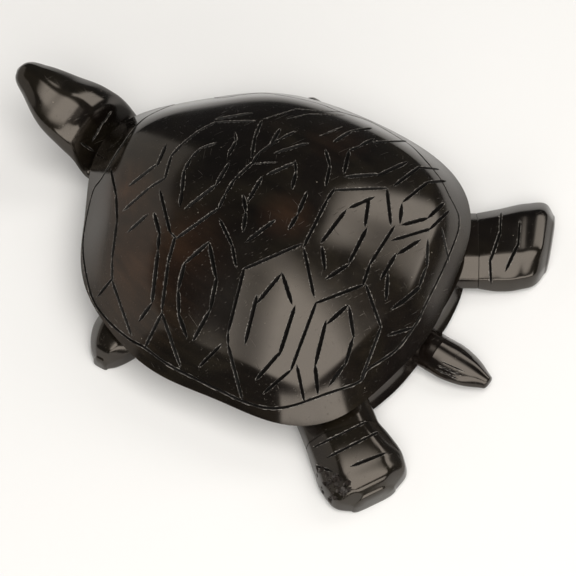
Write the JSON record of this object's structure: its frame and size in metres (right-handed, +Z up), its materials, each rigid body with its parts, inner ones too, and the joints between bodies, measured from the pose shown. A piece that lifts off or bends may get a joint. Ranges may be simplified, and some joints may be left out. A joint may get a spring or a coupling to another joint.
{
  "type": "turtle figurine",
  "caption": "Polished dark horn turtle ornament with a domed shell cut with scute lines, a raised smooth head and short flat feet.",
  "frame": {"origin": "on the ground, under the middle of the bounding box", "axes": "+Z up from the soles to the top of the shell, -Y towards the head, +X towards the animal's left side"},
  "size_m": [0.1032, 0.1438, 0.0295],
  "materials": {
    "shell_horn": "polished horn, near black with brown patches",
    "body_horn": "polished horn, near black",
    "peg_wood": "plain wooden peg, glued in"
  },
  "bodies": {
    "root": {"carapace": "shell_horn", "body_block": "body_horn", "head_and_neck": "body_horn", "tail": "body_horn", "front_left_leg": "body_horn", "front_right_leg": "body_horn", "rear_left_leg": "body_horn", "rear_right_leg": "body_horn", "neck_peg": "peg_wood", "tail_peg": "peg_wood", "front_left_leg_peg": "peg_wood", "front_right_leg_peg": "peg_wood", "rear_left_leg_peg": "peg_wood", "rear_right_leg_peg": "peg_wood", "front_shell_peg": "peg_wood", "rear_shell_peg": "peg_wood"}
  },
  "joints": []
}
